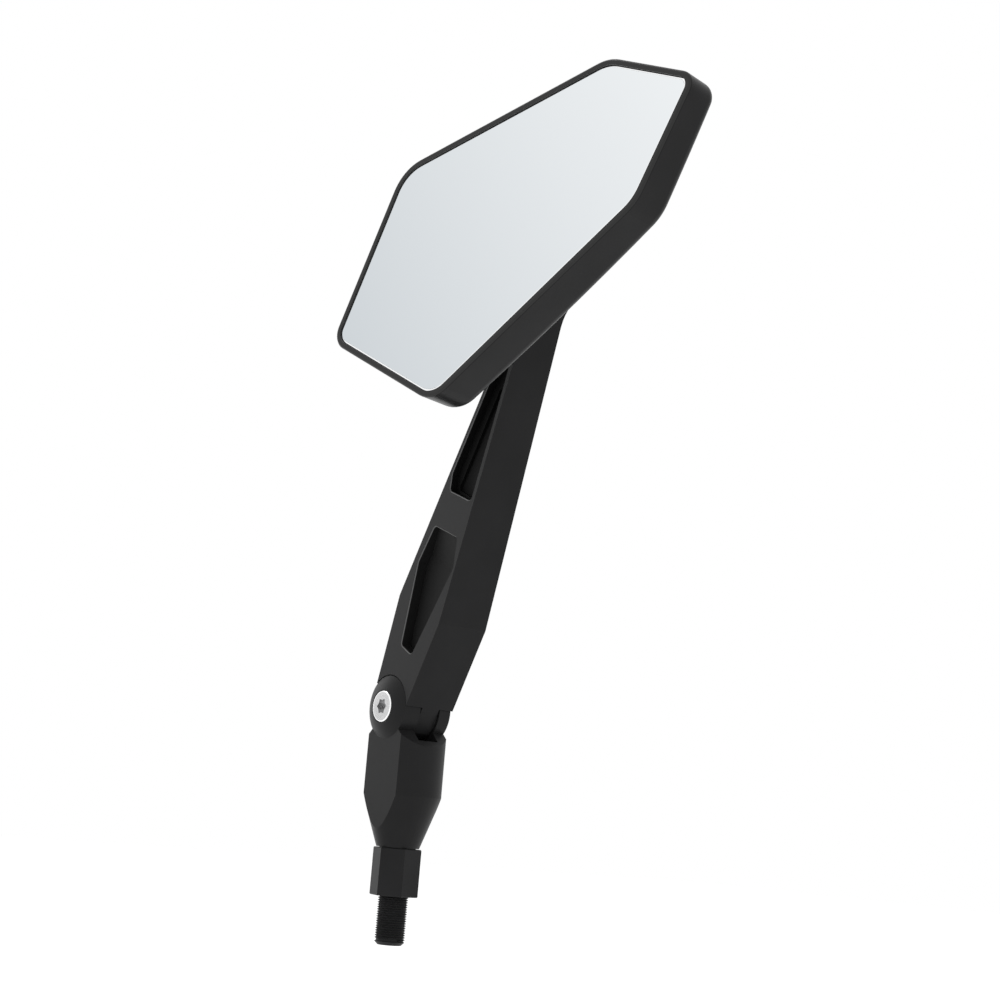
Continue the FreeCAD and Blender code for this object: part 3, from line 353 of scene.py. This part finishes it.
def use_group(tree, group, **values):
    node = add_node(tree, "ShaderNodeGroup", node_tree=group)
    for name, value in values.items():
        node.inputs[name.replace("_", " ").capitalize()].default_value = value
    return node


def dress(shader, tree, effect, bump_strength):
    """Feeds a Principled shader from an effect's colour, roughness and height."""
    tree.links.new(effect.outputs["Color"], shader.inputs["Base Color"])
    tree.links.new(effect.outputs["Roughness"], shader.inputs["Roughness"])
    bump = add_node(tree, "ShaderNodeBump")
    bump.inputs["Strength"].default_value = bump_strength
    bump.inputs["Distance"].default_value = BUMP_HEIGHT
    tree.links.new(effect.outputs["Height"], bump.inputs["Height"])
    tree.links.new(bump.outputs["Normal"], shader.inputs["Normal"])


print("bumps are", BUMP_HEIGHT, "m high")

# %% black finishes
BLACK_TINT = 0.03
GRAIN_BUMP = 0.25
BLACK_LOOKS = {
    "arm_black": dict(dark=0.010, light=0.018, smooth=0.40, rough=0.48, gloss=0.13, grains=5000.0),
    "base_black": dict(dark=0.010, light=0.018, smooth=0.40, rough=0.48, gloss=0.13, grains=5000.0),
    "housing_black": dict(dark=0.010, light=0.018, smooth=0.28, rough=0.36, gloss=0.13, grains=5000.0),
    "adapter_black": dict(dark=0.013, light=0.023, smooth=0.40, rough=0.48, gloss=0.10, grains=4000.0),
    "bearing_plastic": dict(dark=0.012, light=0.022, smooth=0.45, rough=0.60, gloss=0.4, grains=2500.0),
    "foam": dict(dark=0.010, light=0.030, smooth=0.85, rough=0.98, gloss=0.2, grains=1200.0),
}


def black_finish(name, dark, light, smooth, rough, gloss, grains):
    finish, tree, shader = new_finish(name)
    effect = use_group(
        tree, blasted_grain, grains_per_metre=grains,
        dark=grey(dark, BLACK_TINT), light=grey(light, BLACK_TINT), smooth=smooth, rough=rough,
    )
    dress(shader, tree, effect, GRAIN_BUMP)
    shader.inputs["Specular IOR Level"].default_value = gloss
    return finish


finishes = {name: black_finish(name, **look) for name, look in BLACK_LOOKS.items()}
print("black finishes:", sorted(finishes))

# %% [markdown]
# ## Pockets of the arm
# The two pockets in the arm's front are milled and left matt. Their colour is painted darker than the faces
# round them, the upper one most of all: painted shade for the shadow that falls deep into the pockets. No
# edge of the mesh says where a pocket is, but its place does: deeper than the front face, not as deep as
# the back, between two heights along the arm, and a little inside the arm's outline. The outline has a
# straight lower and upper edge on each side, and each edge makes one condition. The broken edge round
# each pocket is found in the same way, by a smaller depth. Its colour is painted paler than the faces, a
# painted highlight for the light that edge catches, and it draws a fine line round the pocket.

# %% helpers for masks
MIX_KINDS = {"Base Color": "RGBA", "Roughness": "FLOAT"}


def half_space(tree, place, start, direction):
    """1 where a place lies beyond a start point in a direction."""
    measure = add_node(tree, "ShaderNodeVectorMath", operation="DOT_PRODUCT")
    tree.links.new(place, measure.inputs[0])
    measure.inputs[1].default_value = direction
    beyond = add_node(tree, "ShaderNodeMath", operation="GREATER_THAN")
    tree.links.new(measure.outputs["Value"], beyond.inputs[0])
    beyond.inputs[1].default_value = start.dot(direction)
    return beyond.outputs[0]


def within(tree, place, limits):
    """1 where a place lies beyond all limits, each of them a start point and a direction."""
    mask = half_space(tree, place, *limits[0])
    for start, direction in limits[1:]:
        both = add_node(tree, "ShaderNodeMath", operation="MULTIPLY")
        tree.links.new(mask, both.inputs[0])
        tree.links.new(half_space(tree, place, start, direction), both.inputs[1])
        mask = both.outputs[0]
    return mask


def change_where(finish, mask, socket, value):
    """Brings a finish's colour or roughness to another value where a mask is 1."""
    tree = finish.node_tree
    target = tree.nodes["Principled BSDF"].inputs[socket]
    mix = add_node(tree, "ShaderNodeMix", data_type=MIX_KINDS[socket])
    tree.links.new(mask, mix.inputs["Factor"])
    tree.links.new(target.links[0].from_socket, mix.inputs["A"])
    mix.inputs["B"].default_value = value
    tree.links.new(mix.outputs["Result"], target)


print("a mask can change", sorted(MIX_KINDS))

# %% mask of the pockets
ARM_LEAN = math.radians(29.35)
ALONG_ARM = Vector((math.sin(ARM_LEAN), 0, math.cos(ARM_LEAN)))
ACROSS_ARM = Vector((math.cos(ARM_LEAN), 0, -math.sin(ARM_LEAN)))
INTO_ARM = Vector((0, 1, 0))
HINGE = joint_places["arm_tilt"]
ARM_FRONT = Vector((0, -0.0093, 0))
POCKET_RIM_DEPTHS = (0.00003, 0.00031)
POCKET_DEPTHS = (0.00031, 0.006)
LOWER_REACH = (0.015, 0.068)
UPPER_REACH = (0.068, 0.132)
LIP_WIDTH = 0.0007
RIGHT_OUTLINE = [(0.0092, 0.0), (0.0088, 0.0357), (-0.0125, 0.150)]
LEFT_OUTLINE = [(-0.0162, 0.150), (-0.0170, 0.0333), (-0.0094, 0.0)]
POCKET_MASKS = [
    ("Lower", LOWER_REACH, POCKET_DEPTHS),
    ("Upper", UPPER_REACH, POCKET_DEPTHS),
    ("Rim", (LOWER_REACH[0], UPPER_REACH[1]), POCKET_RIM_DEPTHS),
]


def on_arm(across, along):
    return HINGE + ACROSS_ARM * across + ALONG_ARM * along


def make_milled_pockets():
    group, _, made = new_group("milled_pockets", [], [(mask[0], VALUE) for mask in POCKET_MASKS])
    place = add_node(group, "ShaderNodeTexCoord").outputs["Object"]
    lips = []
    for outline in (RIGHT_OUTLINE, LEFT_OUTLINE):
        for first, second in zip(outline, outline[1:]):
            edge = on_arm(*second) - on_arm(*first)
            inward = edge.cross(INTO_ARM).normalized()
            lips.append((on_arm(*first) + inward * LIP_WIDTH, inward))
    for name, reach, depths in POCKET_MASKS:
        limits = lips + [
            (on_arm(0, reach[0]), ALONG_ARM),
            (on_arm(0, reach[1]), -ALONG_ARM),
            (ARM_FRONT + INTO_ARM * depths[0], INTO_ARM),
            (ARM_FRONT + INTO_ARM * depths[1], -INTO_ARM),
        ]
        group.links.new(within(group, place, limits), made.inputs[name])
    return group


milled_pockets = make_milled_pockets()
print("group", milled_pockets.name, [item.name for item in milled_pockets.interface.items_tree])

# %% matt pockets with painted shade, and painted highlights on their rims
# painted shade: the two pocket colours are darker than the arm to stand for the shadow inside the pockets; the rim
# colour is a painted highlight
LOWER_POCKET_SHADE = 0.012
UPPER_POCKET_SHADE = 0.004
POCKET_RIM_HIGHLIGHT = 0.15
POCKET_ROUGHNESS = 0.62

arm_black = finishes["arm_black"]
pockets = use_group(arm_black.node_tree, milled_pockets)
# paints shade into the pockets and a highlight onto their rims
for name, level in (("Lower", LOWER_POCKET_SHADE), ("Upper", UPPER_POCKET_SHADE), ("Rim", POCKET_RIM_HIGHLIGHT)):
    change_where(arm_black, pockets.outputs[name], "Base Color", grey(level))
for name in ("Lower", "Upper"):
    change_where(arm_black, pockets.outputs[name], "Roughness", POCKET_ROUGHNESS)
print("matt pockets on", arm_black.name)

# %% [markdown]
# ## Bright screw and ball
# Apart from the glass, the hinge screw is the only bright part in front. A lathe leaves fine rings on
# such a head, round the hinge's axis. Its rim is painted as a brighter ring, a painted highlight for the
# light that the edge of the head catches. The ball stud is turned too, round the axis through the ball's
# centre. Both axes run along Y, so the distance from the axis is measured in X and Z alone.

# %% bright finishes
BALL = joint_places["head_pan"]
FROM_Y_AXIS = (1, 0, 1)
SCREW_RIM = 0.0046
SCREW_EDGE = 0.0050
# painted highlight: the pale colour of the screw's rim stands for the light its edge catches
SCREW_RIM_HIGHLIGHT = 0.95
STEEL_TINT = 0.01
RING_BUMP = 0.2


def from_axis(tree, place):
    """The vector from a lathe axis along Y, through the given place, to the surface."""
    coords = add_node(tree, "ShaderNodeTexCoord").outputs["Object"]
    moved = add_node(tree, "ShaderNodeVectorMath", operation="SUBTRACT")
    tree.links.new(coords, moved.inputs[0])
    moved.inputs[1].default_value = place
    flat = add_node(tree, "ShaderNodeVectorMath", operation="MULTIPLY")
    tree.links.new(moved.outputs[0], flat.inputs[0])
    flat.inputs[1].default_value = FROM_Y_AXIS
    return flat.outputs[0]


def turned_finish(name, place, dark, light, smooth, rough):
    finish, tree, shader = new_finish(name)
    effect = use_group(
        tree, turned_rings, dark=grey(dark), light=grey(light, STEEL_TINT), smooth=smooth, rough=rough
    )
    tree.links.new(from_axis(tree, place), effect.inputs["From axis"])
    dress(shader, tree, effect, RING_BUMP)
    shader.inputs["Metallic"].default_value = 1.0
    return finish


screw = turned_finish("screw_bright", HINGE, dark=0.42, light=0.52, smooth=0.20, rough=0.30)
tree = screw.node_tree
away = add_node(tree, "ShaderNodeVectorMath", operation="LENGTH")
tree.links.new(from_axis(tree, HINGE), away.inputs[0])
# the ring where the screw's rim gets its painted highlight
rim = spread(tree, away.outputs["Value"], SCREW_RIM, SCREW_EDGE)
change_where(screw, rim, "Base Color", grey(SCREW_RIM_HIGHLIGHT))
finishes["screw_bright"] = screw
ball = turned_finish("ball_steel", BALL, dark=0.36, light=0.48, smooth=0.18, rough=0.28)
finishes["ball_steel"] = ball
print("bright finishes:", screw.name, "and", ball.name)

# %% [markdown]
# ## Plated fasteners and the brass pad
# The nuts, the ball stud's washer, the smaller screws and the clamp's plate and spring are zinc plated:
# a grey metal with small cloudy patches, which a plain noise gives. The pad in the swivel's groove is
# brass, and uses the same patches in its own colours.

# %% plated finishes
ZINC_DARK = grey(0.34)
ZINC_LIGHT = grey(0.48, 0.04)
BRASS_DARK = (0.50, 0.34, 0.12, 1)
BRASS_LIGHT = (0.66, 0.48, 0.20, 1)
PLATING_BUMP = 0.15


def plated_finish(name, dark, light, smooth, rough, patches):
    finish, tree, shader = new_finish(name)
    effect = use_group(
        tree, plated_patches, patches_per_metre=patches,
        dark=dark, light=light, smooth=smooth, rough=rough,
    )
    dress(shader, tree, effect, PLATING_BUMP)
    shader.inputs["Metallic"].default_value = 1.0
    return finish


finishes["fastener_steel"] = plated_finish(
    "fastener_steel", ZINC_DARK, ZINC_LIGHT, smooth=0.28, rough=0.42, patches=700.0
)
finishes["pad_brass"] = plated_finish(
    "pad_brass", BRASS_DARK, BRASS_LIGHT, smooth=0.25, rough=0.40, patches=500.0
)
print("plated finishes: fastener_steel, pad_brass")

# %% [markdown]
# ## Mirror glass
# The glass is silvered. Clear glass over a silver layer could be built, but one metal with almost no
# roughness shows the plain room in much the same way. Its colour is painted from a deeper blue grey at
# the low end of the head to a paler one at the high end: a painted reflection, a soft gradient of
# surroundings seen in the glass. Faint smears soften the reflection a little here and there.

# %% mirror finish
# painted reflection: the glass colour runs from deep to pale to stand for the surroundings it reflects
PALE_GLASS_REFLECTION = (0.86, 0.885, 0.90, 1)
DEEP_GLASS_REFLECTION = (0.60, 0.64, 0.67, 1)
SMEARS_PER_METRE = 40.0
SMEAR_DETAIL = 3.0
SMEAR_RANGE = (0.4, 0.7)
SMEAR_ROUGHNESS = (0.008, 0.025)

glass_low, glass_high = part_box("mirror_glass")
rise = Vector((glass_high.x - glass_low.x, 0, glass_high.z - glass_low.z)).normalized()
mirror, tree, shader = new_finish("mirror")
coords = add_node(tree, "ShaderNodeTexCoord").outputs["Object"]
along = add_node(tree, "ShaderNodeVectorMath", operation="DOT_PRODUCT")
tree.links.new(coords, along.inputs[0])
along.inputs[1].default_value = rise
height = spread(tree, along.outputs["Value"], rise.dot(glass_low), rise.dot(glass_high))
tone = add_node(tree, "ShaderNodeMix", data_type="RGBA")
tree.links.new(height, tone.inputs["Factor"])
tone.inputs["A"].default_value = DEEP_GLASS_REFLECTION
tone.inputs["B"].default_value = PALE_GLASS_REFLECTION
tree.links.new(tone.outputs["Result"], shader.inputs["Base Color"])
smears = spread(tree, noise(tree, coords, SMEARS_PER_METRE, SMEAR_DETAIL), *SMEAR_RANGE)
softness = add_node(tree, "ShaderNodeMapRange")
tree.links.new(smears, softness.inputs["Value"])
softness.inputs["To Min"].default_value = SMEAR_ROUGHNESS[0]
softness.inputs["To Max"].default_value = SMEAR_ROUGHNESS[1]
tree.links.new(softness.outputs["Result"], shader.inputs["Roughness"])
shader.inputs["Metallic"].default_value = 1.0
finishes["mirror"] = mirror
print("glass from", tuple(glass_low), "to", tuple(glass_high))

# %% [markdown]
# ## Edge of the glass and rim of the head
# The ground edge of the glass lies just behind its front face. The silver below that edge is flat, so
# the edge reflects like the front. Its colour is also painted paler, a painted highlight that draws a thin
# bright line round the glass. The rim of the shell stands in front of the glass, so the same plane finds
# it. Its colour is painted a little paler than the walls of the shell, a painted highlight for the light
# the rim catches.

# %% ground edge of the glass and rim of the head, with painted highlights
# painted highlight: the pale colour of the glass's ground edge stands for the light that edge catches
GLASS_EDGE_HIGHLIGHT = (0.97, 0.975, 0.98, 1)
GLASS_EDGE_DEPTHS = (0.00004, 0.00050)
HEAD_RIM_REACH = 0.00005
# painted highlight: the rim of the head is painted paler than the shell's walls for the light it catches
HEAD_RIM_HIGHLIGHT = 0.036

glass_faces = nodes["mirror_glass"].data.polygons
front = max((face for face in glass_faces if face.normal.y < 0), key=lambda face: face.area)
glass_front = Vector(front.center)
outward = Vector(front.normal)
ground_edge = within(tree, coords, [
    (glass_front - outward * GLASS_EDGE_DEPTHS[0], -outward),
    (glass_front - outward * GLASS_EDGE_DEPTHS[1], outward),
])
change_where(mirror, ground_edge, "Base Color", GLASS_EDGE_HIGHLIGHT)
silver = add_node(tree, "ShaderNodeVectorTransform", vector_type="NORMAL")
silver.convert_from = "OBJECT"
silver.convert_to = "WORLD"
silver.inputs["Vector"].default_value = outward
surface = add_node(tree, "ShaderNodeNewGeometry").outputs["Normal"]
facing = blend(tree, "VECTOR", ground_edge, surface, silver.outputs["Vector"])
tree.links.new(facing, shader.inputs["Normal"])

housing_black = finishes["housing_black"]
shell_coords = add_node(housing_black.node_tree, "ShaderNodeTexCoord").outputs["Object"]
rim_start = glass_front - outward * HEAD_RIM_REACH
head_rim_highlight = half_space(housing_black.node_tree, shell_coords, rim_start, outward)
change_where(housing_black, head_rim_highlight, "Base Color", grey(HEAD_RIM_HIGHLIGHT))
print("rim of the head in front of", tuple(glass_front))

# %% [markdown]
# ## Finishes on the parts
# The record gives each CAD part the name of a finish. A part could be dressed by hand, one after the
# other, but a loop over the record forgets none. The meshes stay as they are.

# %% put the finishes on the parts
for subpart in frame["record"]["subparts"]:
    part = nodes[subpart["node"]]
    for material_slot in part.material_slots:
        material_slot.material = finishes[subpart["material_slot"]]
print("dressed:", {name: part.material_slots[0].material.name for name, part in nodes.items()})

# %% [markdown]
# ## Threaded stud
# The stud screws into the handlebar perch with a fine M10 thread. CAD keeps it as a plain pin, because
# a thread adds nothing to its motion. Here the pin is made again with its thread. The plain body is a
# single ring of edges, extruded from step to step: round for the turned parts and six-sided for the
# hexagon. A six-sided ring has as many points as a round one, so that each step makes clean faces. The
# thread could be cut with a boolean, but one small section of its ridge, which spins up the stud as a
# screw, gives the same look with a single operator. All sizes of the pieces made here are in
# millimetres.

# %% rings for turned and six-sided pieces
MM = 0.001
RING_POINTS = 72
SIXTH_TURN = math.radians(60)
SHARP_ANGLE = math.radians(35)


def shape_ring(verts, height, limit, flats=None):
    """Puts a ring at a height: round, or six-sided where its flats lie inside the limit."""
    for vert in verts:
        angle = math.atan2(vert.co.y, vert.co.x)
        away = limit
        if flats:
            from_flat = angle % SIXTH_TURN - SIXTH_TURN / 2
            away = min(limit, flats / 2 / math.cos(from_flat))
        vert.co = Vector((math.cos(angle) * away, math.sin(angle) * away, height)) * MM


def grow_rings(mesh, chain):
    """Grows a ring from step to step: each has a height, a radius and, if six-sided, its flats."""
    verts = bmesh.ops.create_circle(mesh, segments=RING_POINTS, radius=MM)["verts"]
    first = edges = list({edge for vert in verts for edge in vert.link_edges})
    shape_ring(verts, *chain[0])
    for step in chain[1:]:
        grown = bmesh.ops.extrude_edge_only(mesh, edges=edges)["geom"]
        verts = [item for item in grown if isinstance(item, bmesh.types.BMVert)]
        ends = set(verts)
        edges = list({edge for vert in verts for edge in vert.link_edges if ends.issuperset(edge.verts)})
        shape_ring(verts, *step)
    return first, edges


def new_piece(name, mesh, body, slot, replaced):
    """Makes a mesh a piece that rides on a body and stands for a plainer CAD part."""
    bmesh.ops.recalc_face_normals(mesh, faces=mesh.faces)
    for face in mesh.faces:
        face.smooth = True
    open_edges = [edge for edge in mesh.edges if len(edge.link_faces) != 2]
    print(name, len(mesh.faces), "faces, open edges:", len(open_edges))
    data = bpy.data.meshes.new(name)
    mesh.to_mesh(data)
    mesh.free()
    data.set_sharp_from_angle(angle=SHARP_ANGLE)
    data.materials.append(finishes[slot])
    piece = bpy.data.objects.new(name, data)
    scene.collection.objects.link(piece)
    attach(piece, body)
    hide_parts(replaced)


print("rings have", RING_POINTS, "points")

# %% body of the stud
HEXAGON_FLATS = 14.0
HEXAGON_TURN = math.radians(43.5)
HEXAGON_TOP = 15.5
HEXAGON_BREAK = 0.25
THREAD_RADIUS = 5.0
THREAD_ROOT = 4.5
THREAD_PITCH = 0.75
STUD_END = -15.7
END_BREAK = 1.1
JOURNAL_RADIUS = 4.5
JOURNAL_TOP = 33.5
JOURNAL_BREAK = 0.6
GROOVE_RADIUS = 3.9
GROOVE_LOW = 25.6
GROOVE_HIGH = 31.0

hexagon_corner = HEXAGON_FLATS / math.sqrt(3)
small_flats = HEXAGON_FLATS - HEXAGON_BREAK * 2
thread_end = STUD_END + END_BREAK
root_start = thread_end + (THREAD_RADIUS - THREAD_ROOT) / 2

stud = bmesh.new()
end_rings = grow_rings(stud, [
    (STUD_END, THREAD_RADIUS - END_BREAK),
    (thread_end, THREAD_RADIUS),
    (root_start, THREAD_ROOT),
    (0.0, THREAD_ROOT),
    (0.0, hexagon_corner, small_flats),
    (HEXAGON_BREAK, hexagon_corner, HEXAGON_FLATS),
    (HEXAGON_TOP - HEXAGON_BREAK, hexagon_corner, HEXAGON_FLATS),
    (HEXAGON_TOP, hexagon_corner, small_flats),
    (HEXAGON_TOP, JOURNAL_RADIUS),
    (GROOVE_LOW, JOURNAL_RADIUS),
    (GROOVE_LOW, GROOVE_RADIUS),
    (GROOVE_HIGH, GROOVE_RADIUS),
    (GROOVE_HIGH, JOURNAL_RADIUS),
    (JOURNAL_TOP - JOURNAL_BREAK, JOURNAL_RADIUS),
    (JOURNAL_TOP, JOURNAL_RADIUS - JOURNAL_BREAK),
])
for end_ring in end_rings:
    bmesh.ops.edgeloop_fill(stud, edges=end_ring)
bmesh.ops.rotate(stud, verts=stud.verts, cent=(0, 0, 0), matrix=Matrix.Rotation(HEXAGON_TURN, 3, "Z"))
print("body of the stud:", len(stud.faces), "faces")

# %% thread of the stud
HALF_CREST = 0.06
FOOT_GAP = 0.06
THREAD_SINK = 0.1
STEPS_PER_TURN = 36

thread_low = root_start + THREAD_PITCH / 2
turns = math.ceil(-thread_low / THREAD_PITCH)
half_foot = THREAD_PITCH / 2 - FOOT_GAP / 2
ridge = [
    (THREAD_ROOT - THREAD_SINK, -half_foot),
    (THREAD_RADIUS, -HALF_CREST),
    (THREAD_RADIUS, HALF_CREST),
    (THREAD_ROOT - THREAD_SINK, half_foot),
]
corners = [stud.verts.new((away * MM, 0, (thread_low + up) * MM)) for away, up in ridge]
section = stud.faces.new(corners)
bmesh.ops.spin(
    stud, geom=[section] + list(section.edges) + corners, cent=(0, 0, 0), axis=(0, 0, 1),
    dvec=(0, 0, THREAD_PITCH * MM / STEPS_PER_TURN), angle=math.tau * turns,
    steps=STEPS_PER_TURN * turns, use_merge=False,
)
new_piece("threaded_stud", stud, "adapter", "adapter_black", "stud_adapter")

# %% [markdown]
# ## Nuts
# Two M6 nuts show at the back: one in the rear ear of the hinge, and one in the round recess at the
# arm's top, behind the ball. A real nut has its corners turned off at a slant, which leaves a curved
# edge on each flat, and its thread opens with a small cone. Both follow from rings with a shrinking
# radius. CAD says where each nut sits, and its hexagon leans with the part that carries it.

# %% nuts
NUT_FLATS = 10.0
NUT_FACE = 4.75
NUT_HOLE = 3.02
NUT_MOUTH = 0.45
NUT_SLANT = 0.6
SLANT_STEPS = 4
MERGE_DISTANCE = 0.001
TO_THE_BACK = Matrix.Rotation(math.radians(-90), 4, "X")


def hexagon_nut(name, body, replaced, lean):
    low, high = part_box(replaced)
    height = (high.y - low.y) / MM
    corner = NUT_FLATS / math.sqrt(3)
    chain = [(0.0, NUT_HOLE), (0.0, corner, NUT_FLATS)]
    for step in range(SLANT_STEPS + 1):
        share = step / SLANT_STEPS
        level = height - NUT_SLANT * (1 - share)
        chain.append((level, corner + (NUT_FACE - corner) * share, NUT_FLATS))
    chain += [(height, NUT_HOLE + NUT_MOUTH), (height - NUT_MOUTH, NUT_HOLE), (0.0, NUT_HOLE)]
    mesh = bmesh.new()
    grow_rings(mesh, chain)
    bmesh.ops.remove_doubles(mesh, verts=mesh.verts, dist=MERGE_DISTANCE * MM)
    place = Vector(((low.x + high.x) / 2, low.y, (low.z + high.z) / 2))
    seat = Matrix.Translation(place) @ Matrix.Rotation(lean, 4, "Y") @ TO_THE_BACK
    bmesh.ops.transform(mesh, verts=mesh.verts, matrix=seat)
    new_piece(name, mesh, body, "fastener_steel", replaced)


hexagon_nut("hinge_nut", "base", "pivot_nut", lean=0.0)
hexagon_nut("ball_stud_nut", "arm", "stud_nut", lean=ARM_LEAN)
